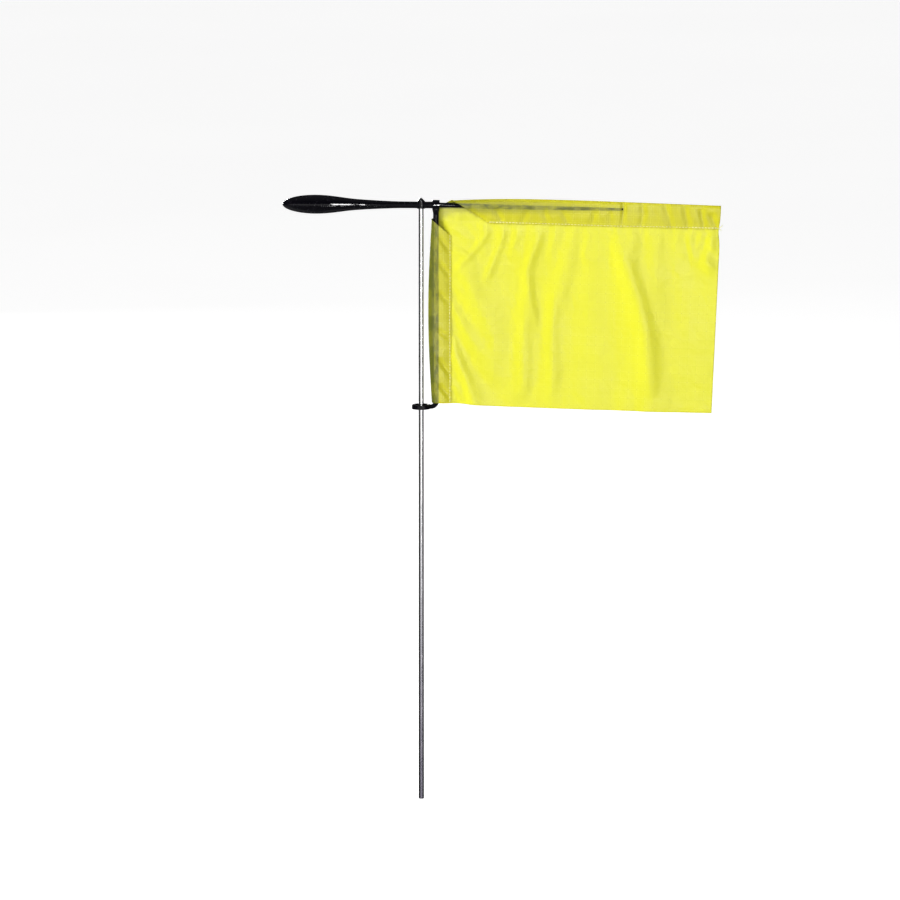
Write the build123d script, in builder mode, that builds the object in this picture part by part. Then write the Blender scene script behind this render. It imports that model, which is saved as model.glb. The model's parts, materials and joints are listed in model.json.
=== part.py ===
from build123d import *
import os
from math import cos, radians, sin, tan

# A counterbalanced wind-indicator flag, in millimetres. A balance arm swings on the point of an
# upright rod: its bulb is on the -X side, and the spar that carries the flag is on the +X side.
# The origin is the centre of the rod's foot, +Z runs up the rod and +X towards the flag's fly.

# ---- rod -------------------------------------------------------------------------------------
rod_length = 450.0
rod_radius = 2.0
foot_chamfer = 0.3
journal_step = 0.2  # the journal's radius is this much less than the rod's
point_half_angle = 40.0
point_flat_radius = 0.25

# ---- balance arm -----------------------------------------------------------------------------
arm_below_point = 3.9  # from the rod's point down to the arm's axis
arm_droop = 0.4  # degrees, down towards the flag
arm_radius = 2.5
bulb_tip = 102.7  # from the rod's axis to the end of the bulb
bulb_belly = 78.2  # from the rod's axis to the bulb's thickest place
bulb_radius = 7.05
shank = [(63.3, 6.0), (51.6, 4.47), (40.7, 3.62), (22.8, 2.73)]  # from the rod's axis, and radius
shank_end = 8.0  # where the shank has thinned to the arm's radius
boss_wall = 1.04
boss_skirt = 0.2  # how far the boss reaches below the arm
bearing_clearance = 0.06  # round the journal, and above its point
crown_wall = 1.4  # plastic over the point
crown_flat_radius = 0.35
shoulder_gap = 0.4  # between the rod's shoulder and the boss

# ---- luff frame ------------------------------------------------------------------------------
luff_offset = 11.0  # from the rod's axis to the luff bar's axis
luff_radius = 2.15
eye_width = 5.5
eye_wall = 1.9
eye_edge = 0.4
shoulder_step = 0.6  # the spar's seat in the eye is this much less in radius than the arm
flare_depth = 3.4  # from the eye's underside down to the plain bar
ring_below_arm = 150.75  # from the arm's axis down to the guide ring's middle
ring_play = 2.9  # all round the rod
ring_wall = 2.15
ring_depth = 3.3
ring_edge = 0.5
bend_radius = 3.9
bend_end_radius = 1.6

# ---- spar ------------------------------------------------------------------------------------
spar_length = 135.9  # from the eye
spar_droop = 1.3  # degrees
spar_tip_radius = 0.75
spar_tip_edge = 0.3
seat_overrun = 0.4  # of the spar's straight seat past the eye
seat_margin = 0.05  # the tapered spar starts this much thinner than its seat
spar_socket = 1.5  # of the tapered spar inside its seat

# ---- flag ------------------------------------------------------------------------------------
cloth = 0.5  # of the plain solids that stand for the cloth
sleeve_wall = 0.35
fold_gap = 1.45  # from the luff bar to the folded luff edge
flag_length_at_top = 214.8
flag_length_at_bottom = 207.9
flag_height_at_fly = 152.85
fly_drop = 1.4  # from the arm's axis down to the fly's top corner
luff_bottom_above_ring = 2.6
luff_sleeve_width = 14.0
luff_sleeve_room = 0.5  # between the bar and the sleeve, to each side
top_fold_rise = 4.7  # from the arm's axis up to the fold at the top sleeve's mouth
top_sleeve_depth = 16.8  # at the luff
top_sleeve_depth_at_fly = 17.3
top_sleeve_room = 1.2  # between the spar and the sleeve at the mouth, to each side
top_sleeve_half_at_fly = 1.0
top_mouth_inset = 1.1  # from the luff seam to the upper end of the slanting mouth
top_mouth_rise = 3.9  # from the arm's axis up to there
top_mouth_slope = -0.62
luff_mouth_drop = 10.3  # from the arm's axis down to the luff sleeve's slanting mouth
luff_mouth_slope = -0.85
sleeve_above_bend = 0.55
corner_clearance = 0.6  # from the flag's corner to the eye, the bar and the spar
fold_half = 0.4  # half the thickness of the cloth at its top fold
fold_depth = 1.0  # from the top fold to the room inside
seam_depth = 1.5  # from the top seam to the room inside
thread_width = 0.6
thread_height = 0.3
seam_allowance = 0.3  # from the sleeve's edge to the thread


def height_on(x, start, end):
    """Height at x on the straight line from start to end, each an (x, z) pair."""
    return start[1] + (end[1] - start[1]) * (x - start[0]) / (end[0] - start[0])


def across(x):
    """The plane that cuts the flag at x, drawn with Y to the right and Z up."""
    return Plane(origin=(x, 0, 0), x_dir=(0, 1, 0), z_dir=(1, 0, 0))


def drooping(x, z, droop):
    """A side plane at (x, z), whose x axis points at the flag and droops by that many degrees."""
    x_dir = (cos(radians(droop)), 0, -sin(radians(droop)))
    return Plane(origin=(x, 0, z), x_dir=x_dir, z_dir=(0, -1, 0))


side = drooping(0, 0, 0)  # x and z as they are

# ---- places that follow from the sizes -------------------------------------------------------
journal_radius = rod_radius - journal_step
bore_radius = journal_radius + bearing_clearance
boss_radius = bore_radius + boss_wall
spar_seat_radius = arm_radius - shoulder_step
spar_root_radius = spar_seat_radius - seat_margin
eye_radius = spar_seat_radius + eye_wall
ring_inner_radius = rod_radius + ring_play
ring_outer_radius = ring_inner_radius + ring_wall

arm_height = rod_length - arm_below_point
boss_bottom = arm_height - arm_radius - boss_skirt
shoulder_height = boss_bottom - shoulder_gap
point_height = (journal_radius - point_flat_radius) / tan(radians(point_half_angle))
seat_top = rod_length + bearing_clearance
crown_top = seat_top + crown_wall
arm_axis_drop = tan(radians(arm_droop))
ring_height = arm_height - ring_below_arm
eye_left = luff_offset - eye_width / 2
eye_right = luff_offset + eye_width / 2
eye_height = arm_height - luff_offset * arm_axis_drop
bar_top = eye_height - eye_radius - flare_depth
bar_bottom = ring_height + bend_radius
bend_end = luff_offset - bend_radius  # where the bend is level with the ring
luff_right = luff_offset + luff_radius

spar_slope = -tan(radians(spar_droop))
spar_start = (eye_right, arm_height - eye_right * arm_axis_drop)
spar_reach = spar_length * cos(radians(spar_droop))
spar_end = (eye_right + spar_reach, spar_start[1] + spar_reach * spar_slope)

luff_fold = luff_offset - luff_radius - fold_gap
luff_seam = luff_fold + luff_sleeve_width
luff_sleeve_half = luff_radius + luff_sleeve_room + sleeve_wall
top_sleeve_half = spar_seat_radius + top_sleeve_room + sleeve_wall
sleeve_bottom_height = bar_bottom + sleeve_above_bend
luff_bottom_height = ring_height + luff_bottom_above_ring
fly_top = (luff_fold + flag_length_at_top, arm_height - fly_drop)
fly_bottom = (luff_fold + flag_length_at_bottom, fly_top[1] - flag_height_at_fly)
fly_slope = (fly_top[0] - fly_bottom[0]) / (fly_top[1] - fly_bottom[1])
top_mouth = (luff_seam + top_mouth_inset, arm_height + top_mouth_rise)
top_start = (top_mouth[0], arm_height + top_fold_rise)
luff_mouth = (luff_fold, arm_height - luff_mouth_drop)
seam_start = (luff_seam, top_start[1] - top_sleeve_depth)
seam_end = (fly_top[0], fly_top[1] - top_sleeve_depth_at_fly)

os.makedirs("parts", exist_ok=True)

# ---- spindle rod: bright steel, a turned journal and a ground point at the top ---------------
with BuildPart() as spindle_rod:
    with BuildSketch(side):
        with BuildLine():
            Polyline(
                (0, 0),
                (rod_radius - foot_chamfer, 0),
                (rod_radius, foot_chamfer),
                (rod_radius, shoulder_height),
                (journal_radius, shoulder_height),
                (journal_radius, rod_length - point_height),
                (point_flat_radius, rod_length),
                (0, rod_length),
                close=True,
            )
        make_face()
    revolve(axis=Axis.Z)

spindle_rod.part.label = "spindle_rod"
export_step(spindle_rod.part, "parts/spindle_rod.step")

# ---- balance arm: one moulding of bulb, shank, bearing boss and spar -------------------------
arm_side = drooping(0, arm_height, arm_droop)
arm_axis = Axis(arm_side.origin, arm_side.x_dir)
spar_side = drooping(*spar_start, spar_droop)
spar_axis = Axis(spar_side.origin, spar_side.x_dir)

with BuildPart() as balance_arm:
    with BuildSketch(arm_side):
        with BuildLine():
            nose = EllipticalCenterArc(
                (-bulb_belly, 0), bulb_tip - bulb_belly, bulb_radius, start_angle=90, arc_size=90
            )
            Spline(
                (-bulb_belly, bulb_radius),
                *[(-reach, radius) for reach, radius in shank],
                (-shank_end, arm_radius),
                tangents=[(1, 0), (1, 0)],
            )
            Polyline(
                (-shank_end, arm_radius),
                (eye_left, arm_radius),
                (eye_left, spar_seat_radius),
                (eye_right + seat_overrun, spar_seat_radius),
                (eye_right + seat_overrun, 0),
                nose @ 1,
            )
        make_face()
    revolve(axis=arm_axis)
    with BuildSketch(spar_side):
        with BuildLine():
            Polyline(
                (-spar_socket, 0),
                (-spar_socket, spar_root_radius),
                (0, spar_root_radius),
                (spar_length - spar_tip_edge, spar_tip_radius),
                (spar_length, spar_tip_radius - spar_tip_edge),
                (spar_length, 0),
                close=True,
            )
        make_face()
    revolve(axis=spar_axis)
    with BuildSketch(side):
        with BuildLine():
            Polyline(
                (0, boss_bottom),
                (boss_radius, boss_bottom),
                (boss_radius, crown_top + crown_flat_radius - boss_radius),
                (crown_flat_radius, crown_top),
                (0, crown_top),
                close=True,
            )
        make_face()
    revolve(axis=Axis.Z)
    with BuildSketch(side):
        with BuildLine():
            Polyline(
                (0, boss_bottom),
                (bore_radius, boss_bottom),
                (bore_radius, seat_top + point_flat_radius - bore_radius),
                (point_flat_radius, seat_top),
                (0, seat_top),
                close=True,
            )
        make_face()
    revolve(axis=Axis.Z, mode=Mode.SUBTRACT)

balance_arm.part.label = "balance_arm"
export_step(balance_arm.part, "parts/balance_arm.step")

# ---- luff eye: the collar pressed on the spar against the arm's shoulder ---------------------
eye_side = drooping(luff_offset, eye_height, arm_droop)
eye_axis = Axis(eye_side.origin, eye_side.x_dir)

with BuildPart() as luff_eye:
    with BuildSketch(eye_side):
        with Locations((0, eye_radius / 2)):
            Rectangle(eye_width, eye_radius)
    revolve(axis=eye_axis)
    fillet(luff_eye.edges().filter_by(GeomType.CIRCLE), radius=eye_edge)
    with BuildSketch(side):
        with BuildLine():
            flare_top = eye_height - arm_radius
            Polyline(
                (luff_right, bar_top),
                (luff_offset, bar_top),
                (luff_offset, flare_top),
                (eye_right, flare_top),
                (eye_right, eye_height - eye_radius + eye_edge),
            )
            Spline(
                (eye_right, eye_height - eye_radius + eye_edge),
                (luff_right, bar_top),
                tangents=[(-0.3, -1), (0, -1)],
            )
        make_face()
    revolve(axis=Axis((luff_offset, 0, 0), (0, 0, 1)))
    with BuildSketch(eye_side):
        with Locations((0, spar_seat_radius / 2)):
            Rectangle(2 * eye_width, spar_seat_radius)
    revolve(axis=eye_axis, mode=Mode.SUBTRACT)

luff_eye.part.label = "luff_eye"
export_step(luff_eye.part, "parts/luff_eye.step")

# ---- luff bar: down inside the luff sleeve ---------------------------------------------------
with BuildPart() as luff_bar:
    with BuildSketch(Plane.XY.offset(bar_bottom)):
        with Locations((luff_offset, 0)):
            Circle(luff_radius)
    extrude(amount=bar_top - bar_bottom)

luff_bar.part.label = "luff_bar"
export_step(luff_bar.part, "parts/luff_bar.step")

# ---- guide ring: the bar's foot bends back to a loose ring round the rod ---------------------
with BuildPart() as guide_ring:
    with BuildLine() as bend_path:
        bend = TangentArc(
            (luff_offset, 0, bar_bottom), (bend_end, 0, ring_height), tangent=(0, 0, -1)
        )
    with BuildSketch(Plane(origin=bend @ 0, z_dir=bend % 0)):
        Circle(luff_radius)
    with BuildSketch(Plane(origin=bend @ 1, z_dir=bend % 1)):
        Circle(bend_end_radius)
    sweep(path=bend_path.wires()[0], multisection=True)
    with BuildSketch(Plane(origin=bend @ 1, z_dir=bend % 1)):
        Circle(bend_end_radius)
    extrude(amount=ring_wall / 2 + bend_end - ring_outer_radius)
    with BuildSketch(side):
        with Locations(((ring_inner_radius + ring_outer_radius) / 2, ring_height)):
            RectangleRounded(ring_wall, ring_depth, ring_edge)
    revolve(axis=Axis.Z)

guide_ring.part.label = "guide_ring"
export_step(guide_ring.part, "parts/guide_ring.step")

# ---- flag panel: one thickness of cloth, cut away round the eye, the bar and the spar --------
top_mouth_plane = Plane(
    origin=(top_mouth[0], 0, top_mouth[1]), x_dir=(0, 1, 0), z_dir=(-top_mouth_slope, 0, 1)
)
luff_mouth_plane = Plane(
    origin=(luff_mouth[0], 0, luff_mouth[1]), x_dir=(0, 1, 0), z_dir=(-luff_mouth_slope, 0, 1)
)
fly_plane = Plane(
    origin=(fly_bottom[0], 0, fly_bottom[1]), x_dir=(0, 1, 0), z_dir=(1, 0, -fly_slope)
)
seam_slope = (seam_end[1] - seam_start[1]) / (seam_end[0] - seam_start[0])
corner_left = eye_right + corner_clearance
corner_top = spar_start[1] - spar_seat_radius - corner_clearance
cloth_right_of_bar = luff_right + corner_clearance


def crossing(start, slope, other, other_slope):
    """Where two lines of the side view meet, each given by a point and a slope."""
    x = (other[1] - start[1] + slope * start[0] - other_slope * other[0]) / (slope - other_slope)
    return (x, start[1] + slope * (x - start[0]))


mouth_foot = crossing(top_mouth, top_mouth_slope, seam_start, seam_slope)
mouth_corner = crossing(top_mouth, top_mouth_slope, (corner_left, corner_top), spar_slope)
luff_mouth_corner = (corner_left, luff_mouth[1] + luff_mouth_slope * (corner_left - luff_mouth[0]))
luff_mouth_foot = (luff_seam, luff_mouth[1] + luff_mouth_slope * (luff_seam - luff_mouth[0]))
fly_at_seam = crossing(seam_start, seam_slope, fly_bottom, 1 / fly_slope)

with BuildPart() as flag_panel:
    with BuildSketch(side):
        with BuildLine():
            Polyline(
                (cloth_right_of_bar, luff_bottom_height),
                fly_bottom,
                fly_at_seam,
                mouth_foot,
                mouth_corner,
                (corner_left, corner_top),
                luff_mouth_corner,
                luff_mouth_foot,
                (luff_seam, sleeve_bottom_height),
                (cloth_right_of_bar, sleeve_bottom_height),
                close=True,
            )
        make_face()
    extrude(amount=cloth / 2, both=True)

flag_panel.part.label = "flag_panel"
export_step(flag_panel.part, "parts/flag_panel.step")

# ---- luff sleeve: the cloth folded round the luff bar ----------------------------------------
wrap = 1.75  # how far each side of the bar's axis the sleeve stays parallel
taper_end = luff_seam - 2.0  # where the two layers meet again


def luff_sleeve_outline(inset, seam_end_points):
    """Half of the sleeve's level section and its mirror image, drawn in by inset."""
    half = luff_sleeve_half - inset
    near = [
        (luff_fold + inset, luff_sleeve_half / 2 - inset),
        (luff_offset - wrap, half),
        (luff_offset + wrap, half),
    ]
    return near + seam_end_points + [(x, -y) for x, y in reversed(near)]


with BuildPart() as luff_sleeve:
    seam_edge = [(luff_seam, cloth / 2), (luff_seam, -cloth / 2)]
    with BuildSketch(Plane.XY.offset(sleeve_bottom_height)):
        with BuildLine():
            Polyline(*luff_sleeve_outline(0, seam_edge), close=True)
        make_face()
    extrude(amount=luff_mouth[1] - sleeve_bottom_height)
    with BuildSketch(Plane.XY.offset(sleeve_bottom_height)):
        with BuildLine():
            Polyline(*luff_sleeve_outline(sleeve_wall, [(taper_end, 0)]), close=True)
        make_face()
    extrude(amount=luff_mouth[1] - sleeve_bottom_height, mode=Mode.SUBTRACT)
    split(bisect_by=luff_mouth_plane, keep=Keep.BOTTOM)

luff_sleeve.part.label = "luff_sleeve"
export_step(luff_sleeve.part, "parts/luff_sleeve.step")

# ---- top sleeve: the cloth folded over the spar, open at the mouth and at the fly ------------
beyond_fly = fly_top[0] + 2.0  # the sleeve is made this far, then cut to the fly


def sleeve_section(x, half):
    """The outline of the sleeve at x, as (y, z) points, and that of the room inside it."""
    seam = height_on(x, seam_start, seam_end)
    fold = height_on(x, top_start, fly_top)
    spar = height_on(x, spar_start, spar_end)
    room = half - sleeve_wall
    outline = [
        (-cloth / 2, seam),
        (cloth / 2, seam),
        (half, spar),
        (fold_half, fold),
        (-fold_half, fold),
        (-half, spar),
    ]
    inside = [(0, seam + seam_depth), (room, spar), (0, fold - fold_depth), (-room, spar)]
    return outline, inside


sleeve_ends = [
    (luff_seam, *sleeve_section(luff_seam, top_sleeve_half)),
    (beyond_fly, *sleeve_section(beyond_fly, top_sleeve_half_at_fly)),
]

with BuildPart() as top_sleeve:
    for x, outline, inside in sleeve_ends:
        with BuildSketch(across(x)):
            with BuildLine():
                Polyline(*outline, close=True)
            make_face()
    loft()
    for x, outline, inside in sleeve_ends:
        with BuildSketch(across(x)):
            with BuildLine():
                Polyline(*inside, close=True)
            make_face()
    loft(mode=Mode.SUBTRACT)
    split(bisect_by=top_mouth_plane, keep=Keep.TOP)
    split(bisect_by=fly_plane, keep=Keep.BOTTOM)

top_sleeve.part.label = "top_sleeve"
export_step(top_sleeve.part, "parts/top_sleeve.step")

# ---- seam threads: a row of stitches on each side of the cloth -------------------------------
both_sides = [(cloth / 2, thread_height), (-cloth / 2, -thread_height)]
thread_start = (mouth_foot[0], mouth_foot[1] - seam_allowance)
thread_end = (fly_at_seam[0] - seam_allowance, fly_at_seam[1] - seam_allowance)

with BuildPart() as top_seam_thread:
    for surface, height in both_sides:
        with BuildSketch(side.offset(surface)):
            with BuildLine():
                Polyline(
                    thread_start,
                    thread_end,
                    (thread_end[0], thread_end[1] - thread_width),
                    (thread_start[0], thread_start[1] - thread_width),
                    close=True,
                )
            make_face()
        extrude(amount=height)

top_seam_thread.part.label = "top_seam_thread"
export_step(top_seam_thread.part, "parts/top_seam_thread.step")

luff_thread_top = luff_mouth_foot[1]
luff_thread_middle = (
    luff_seam + seam_allowance + thread_width / 2,
    (luff_thread_top + sleeve_bottom_height) / 2,
)

with BuildPart() as luff_seam_thread:
    for surface, height in both_sides:
        with BuildSketch(side.offset(surface)):
            with Locations(luff_thread_middle):
                Rectangle(thread_width, luff_thread_top - sleeve_bottom_height)
        extrude(amount=height)

luff_seam_thread.part.label = "luff_seam_thread"
export_step(luff_seam_thread.part, "parts/luff_seam_thread.step")
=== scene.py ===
# %% [markdown]
# # A counterbalanced wind flag on its rod
# The rod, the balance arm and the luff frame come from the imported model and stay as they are. What
# this file makes is everything a hard-part modeller leaves out: the cloth, its seams, and the
# finish of every surface. Loading the frame comes first, because each place is read from it.

# %% Load the frame
import json
from math import cos, exp, pi, radians, sin, sqrt

import bpy
from mathutils import Matrix, Vector


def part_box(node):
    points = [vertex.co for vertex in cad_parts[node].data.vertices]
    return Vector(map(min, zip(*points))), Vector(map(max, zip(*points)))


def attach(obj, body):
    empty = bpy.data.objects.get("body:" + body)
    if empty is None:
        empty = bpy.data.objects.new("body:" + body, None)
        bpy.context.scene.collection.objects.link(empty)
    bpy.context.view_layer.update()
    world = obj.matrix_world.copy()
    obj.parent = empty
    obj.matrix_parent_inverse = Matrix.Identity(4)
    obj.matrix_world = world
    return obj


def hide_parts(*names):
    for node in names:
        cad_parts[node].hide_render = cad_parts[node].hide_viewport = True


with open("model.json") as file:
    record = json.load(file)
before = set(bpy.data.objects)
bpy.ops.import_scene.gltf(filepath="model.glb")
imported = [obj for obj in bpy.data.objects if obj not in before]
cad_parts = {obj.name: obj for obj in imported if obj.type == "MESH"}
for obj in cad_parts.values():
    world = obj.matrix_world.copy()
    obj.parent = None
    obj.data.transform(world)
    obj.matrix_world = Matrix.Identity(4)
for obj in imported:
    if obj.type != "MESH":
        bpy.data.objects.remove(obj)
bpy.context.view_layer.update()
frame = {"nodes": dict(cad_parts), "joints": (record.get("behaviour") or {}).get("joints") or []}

mm = 0.001

# %% [markdown]
# ## Floor, light and camera
# A studio floor is a big pale sheet. The camera stands seven metres off with a very long lens, so
# the rod's foot and the arm are seen at nearly the same slant, and it looks slightly down.


# %% Set up the floor and the camera
def deselect():
    """Nothing is selected and no mesh is open, so that the next operator acts on its own piece."""
    if bpy.context.mode != "OBJECT":
        bpy.ops.object.mode_set(mode="OBJECT")
    bpy.ops.object.select_all(action="DESELECT")


deselect()
bpy.ops.mesh.primitive_plane_add(size=80)
floor = bpy.context.object
floor.name = "floor"
floor.visible_glossy = False

aim = Vector((21.4, 0, 262.8)) * mm
camera_distance = 7.0
camera_height_angle = radians(8)
view_width = 669 * mm
sensor = 36.0
back = Vector((0, -cos(camera_height_angle), sin(camera_height_angle)))
bpy.ops.object.camera_add(location=aim + back * camera_distance)
camera = bpy.context.object
camera.rotation_euler = (-back).to_track_quat("-Z", "Y").to_euler()
camera.data.sensor_width = sensor
camera.data.lens = sensor * camera_distance / view_width
camera.data.clip_end = 200
bpy.context.scene.camera = camera
bpy.context.scene.view_settings.view_transform = "Standard"
print("the lens is", round(camera.data.lens), "mm")

# %% [markdown]
# A material or a world is a tree of nodes. This helper adds one node, sets its options, and takes
# for each input either a plain value or another node's output, so that a tree reads from top to
# bottom like a recipe.


# %% A helper for node trees
def node(tree, kind, options=None, **inputs):
    """Adds a node. An input is named by its label, with _ for a space, or by i and its number."""
    made = tree.nodes.new("ShaderNode" + kind)
    for option, value in (options or {}).items():
        setattr(made, option, value)
    for name, value in inputs.items():
        by_number = name[0] == "i" and name[1:].isdigit()
        socket = made.inputs[int(name[1:]) if by_number else name.replace("_", " ")]
        if isinstance(value, bpy.types.NodeSocket):
            tree.links.new(value, socket)
        else:
            socket.default_value = value
    return made


def math(tree, operation, *values):
    """One step of arithmetic on numbers or outputs."""
    named = {f"i{n}": value for n, value in enumerate(values)}
    return node(tree, "Math", {"operation": operation}, **named).outputs[0]


def plus(tree, *values):
    """The sum of two or more numbers or outputs."""
    total = values[0]
    for value in values[1:]:
        total = math(tree, "ADD", total, value)
    return total


def times(tree, *values):
    """The product of two or more numbers or outputs."""
    product = values[0]
    for value in values[1:]:
        product = math(tree, "MULTIPLY", product, value)
    return product


def mixed(tree, share, first, second):
    """The first colour where share is 0, the second where it is 1."""
    return node(tree, "Mix", {"data_type": "RGBA"}, i0=share, i6=first, i7=second).outputs[2]


def ramp(tree, value, low, high, at_low=0.0, at_high=1.0, smooth=True):
    """Takes a value from low..high to at_low..at_high, and holds it outside."""
    kind = {"interpolation_type": "SMOOTHSTEP" if smooth else "LINEAR"}
    made = node(tree, "MapRange", kind, Value=value)
    for name, number in zip(("From Min", "From Max", "To Min", "To Max"), (low, high, at_low, at_high)):
        made.inputs[name].default_value = number
    return made.outputs[0]


def material(name):
    """A new material with its surface shader: returns the material, its tree and the shader."""
    made = bpy.data.materials.new(name)
    made.use_nodes = True
    return made, made.node_tree, made.node_tree.nodes["Principled BSDF"]


def constants(shader, **values):
    """Numbers that are the same all over are set on the shader's own sockets."""
    for name, value in values.items():
        shader.inputs[name.replace("_", " ")].default_value = value


# %% [markdown]
# ## The light
# Soft light from all round keeps cloth shadows gentle. Glossy things need the opposite: black
# plastic and steel only look right with something dark to mirror. So the world is bright for the
# cloth and dark for reflections, but for three things: a long bright band low in front and behind,
# which gives the rod its bright core, a dim floor below it, and a little light from overhead. The
# short bright line on the arm comes from one lamp in front and one behind, and the glints on the
# eye, the spar and the crown of the boss from tiny lamps close by. Only glossy pieces mirror those.

# %% Build the world and the lamps
world = bpy.data.worlds.new("studio")
bpy.context.scene.world = world
world.use_nodes = True
sky = world.node_tree
sky.nodes.clear()
way = node(sky, "TexCoord").outputs["Generated"]
split = node(sky, "SeparateXYZ", Vector=way).outputs
height_angle = math(sky, "ARCSINE", split["Z"])
round_angle = math(sky, "ARCTAN2", split["X"], math(sky, "MULTIPLY", split["Y"], -1.0))
off_front = math(sky, "ABSOLUTE", round_angle)
off_back = math(sky, "SUBTRACT", pi, off_front)
nearest = math(sky, "MINIMUM", off_front, off_back)
band_side = ramp(sky, nearest, radians(34), radians(56), 1.0, 0.0)
band_low = ramp(sky, height_angle, radians(-10.2), radians(-7.4))
band_high = ramp(sky, height_angle, radians(2), radians(9), 1.0, 0.0)
band = times(sky, band_side, band_low, band_high)
overhead = ramp(sky, height_angle, radians(35), radians(80), 0.0, 0.16)
floor_low = ramp(sky, height_angle, radians(-26), radians(-13), 1.0, 0.0)
floor_side = ramp(sky, nearest, radians(30), radians(62), 0.13, 0.50)
low_light = times(sky, floor_low, floor_side)
band_strength, darkest = 1.25, 0.02
cloth_light, backdrop_light = 0.38, 0.62
glossy_light = plus(sky, times(sky, band, band_strength), overhead, darkest, low_light)
rays = node(sky, "LightPath").outputs
not_glossy = math(sky, "SUBTRACT", 1.0, rays["Is Glossy Ray"])
seen_light = plus(sky, cloth_light, times(sky, rays["Is Camera Ray"], backdrop_light))
soft_light = times(sky, not_glossy, seen_light)
strength = plus(sky, soft_light, times(sky, rays["Is Glossy Ray"], glossy_light))
surroundings = node(sky, "Background", Color=(1, 1, 1, 1), Strength=strength)
sky_end = node(sky, "OutputWorld")
sky.links.new(surroundings.outputs[0], sky_end.inputs["Surface"])

lit_spot = Vector((0.04, 0, 0.40))  # the middle of the flag's upper part, which the lamps face


def lamp(name, side_angle, up_angle, distance, width, height, watts, glossy=True):
    """A soft box that faces the flag. The angles are round from the front and up, in degrees."""
    a, e = radians(side_angle), radians(up_angle)
    way_out = Vector((sin(a) * cos(e), -cos(a) * cos(e), sin(e)))
    deselect()
    bpy.ops.object.light_add(type="AREA", location=lit_spot + way_out * distance)
    made = bpy.context.object
    made.name = name
    made.rotation_euler = (-way_out).to_track_quat("-Z", "Y").to_euler()
    made.data.shape = "RECTANGLE"
    made.data.size, made.data.size_y = width, height
    made.data.energy = watts
    made.visible_camera = False
    made.visible_glossy = glossy
    return made


lamp("key_light", -60, 34, 2.2, 0.7, 0.7, 33, glossy=False)
lamp("back_light", 140, 40, 2.4, 1.2, 1.2, 16, glossy=False)
for side_name, side_angle in (("front", 15.5), ("back", 195.5)):
    lamp("arm_sparkle_" + side_name, side_angle, 5, 2.9, 0.58, 0.84, 100).visible_diffuse = False


def sparkle_lamp(name, place, width, height, watts):
    """A tiny lamp in mm, close by, that only glossy pieces mirror."""
    made = lamp(name, 0, 0, 1.0, width * mm, height * mm, watts)
    made.location = Vector(place) * mm
    made.visible_diffuse = False
    return made


sparkle_lamp("eye_sparkle_left", (9.9, -30, 450), 0.8, 6, 0.006)
sparkle_lamp("eye_sparkle_right", (13.1, -30, 450), 0.8, 6, 0.006)
sparkle_lamp("spar_sparkle", (20, -45, 451), 9, 3, 0.0045)
sparkle_lamp("crown_sparkle", (0.2, -6, 480), 1, 1, 0.002).rotation_euler = (0, 0, 0)

pale, pale_tree, pale_shader = material("pale_floor")
floor_place = node(pale_tree, "TexCoord").outputs["Object"]
shade_noise = node(pale_tree, "TexNoise", Vector=floor_place, Scale=2.0)
tint = ramp(pale_tree, shade_noise.outputs[0], 0.3, 0.7, 0.40, 0.42)
pale_grey = node(pale_tree, "CombineColor", i0=tint, i1=tint, i2=tint)
pale_tree.links.new(pale_grey.outputs[0], pale_shader.inputs["Base Color"])
constants(pale_shader, Roughness=0.7, Emission_Color=(1, 1, 1, 1), Emission_Strength=0.79)
floor.data.materials.append(pale)

# %% [markdown]
# ## Marks from handling
# Steel and glossy plastic both gather fine scratches, dull finger smudges and a few specks. It is
# one effect in two finishes, so it is one node group: each material places it with its own scale
# and amount. The scratches are a noise squeezed thin along one direction.


# %% The handling marks group
def new_group(name, inputs, outputs):
    """An empty node group with named number or vector sockets."""
    made = bpy.data.node_groups.new(name, "ShaderNodeTree")
    for label, kind, value in inputs:
        socket = made.interface.new_socket(label, in_out="INPUT", socket_type="NodeSocket" + kind)
        if kind == "Float":
            socket.default_value = value
    for label in outputs:
        made.interface.new_socket(label, in_out="OUTPUT", socket_type="NodeSocketFloat")
    return made, made.nodes.new("NodeGroupInput").outputs, made.nodes.new("NodeGroupOutput").inputs


def use_group(tree, group, **inputs):
    """Places a group in a material and returns its outputs."""
    made = tree.nodes.new("ShaderNodeGroup")
    made.node_tree = group
    for name, value in inputs.items():
        socket = made.inputs[name.replace("_", " ")]
        if isinstance(value, bpy.types.NodeSocket):
            tree.links.new(value, socket)
        else:
            socket.default_value = value
    return made.outputs


marks, given, result = new_group(
    "handling_marks",
    [("Place", "Vector", None), ("Scratch Scale", "Float", 900), ("Smudge Scale", "Float", 60)],
    ["Scratches", "Smudges", "Specks"],
)
by_angles = {"rotation_type": "EULER_XYZ"}
turned = node(marks, "VectorRotate", by_angles, Vector=given["Place"], Rotation=(0.3, 0.9, 0.2))
thin = node(marks, "VectorMath", {"operation": "MULTIPLY"}, i0=turned.outputs[0], i1=(1.0, 0.06, 1.0))
hairs = node(marks, "TexNoise", Vector=thin.outputs[0], Scale=given["Scratch Scale"], Detail=3.0)
marks.links.new(ramp(marks, hairs.outputs[0], 0.60, 0.72), result["Scratches"])
smudge_size = given["Smudge Scale"]
prints = node(marks, "TexNoise", Vector=given["Place"], Scale=smudge_size, Detail=4.0, Distortion=0.6)
marks.links.new(ramp(marks, prints.outputs[0], 0.42, 0.68), result["Smudges"])
dust = node(marks, "TexVoronoi", {"feature": "F1"}, Vector=given["Place"], Scale=given["Scratch Scale"])
marks.links.new(ramp(marks, dust.outputs["Distance"], 0.05, 0.11, 1.0, 0.0), result["Specks"])
print("group", marks.name, "gives", [s.name for s in result if s.name])

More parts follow.
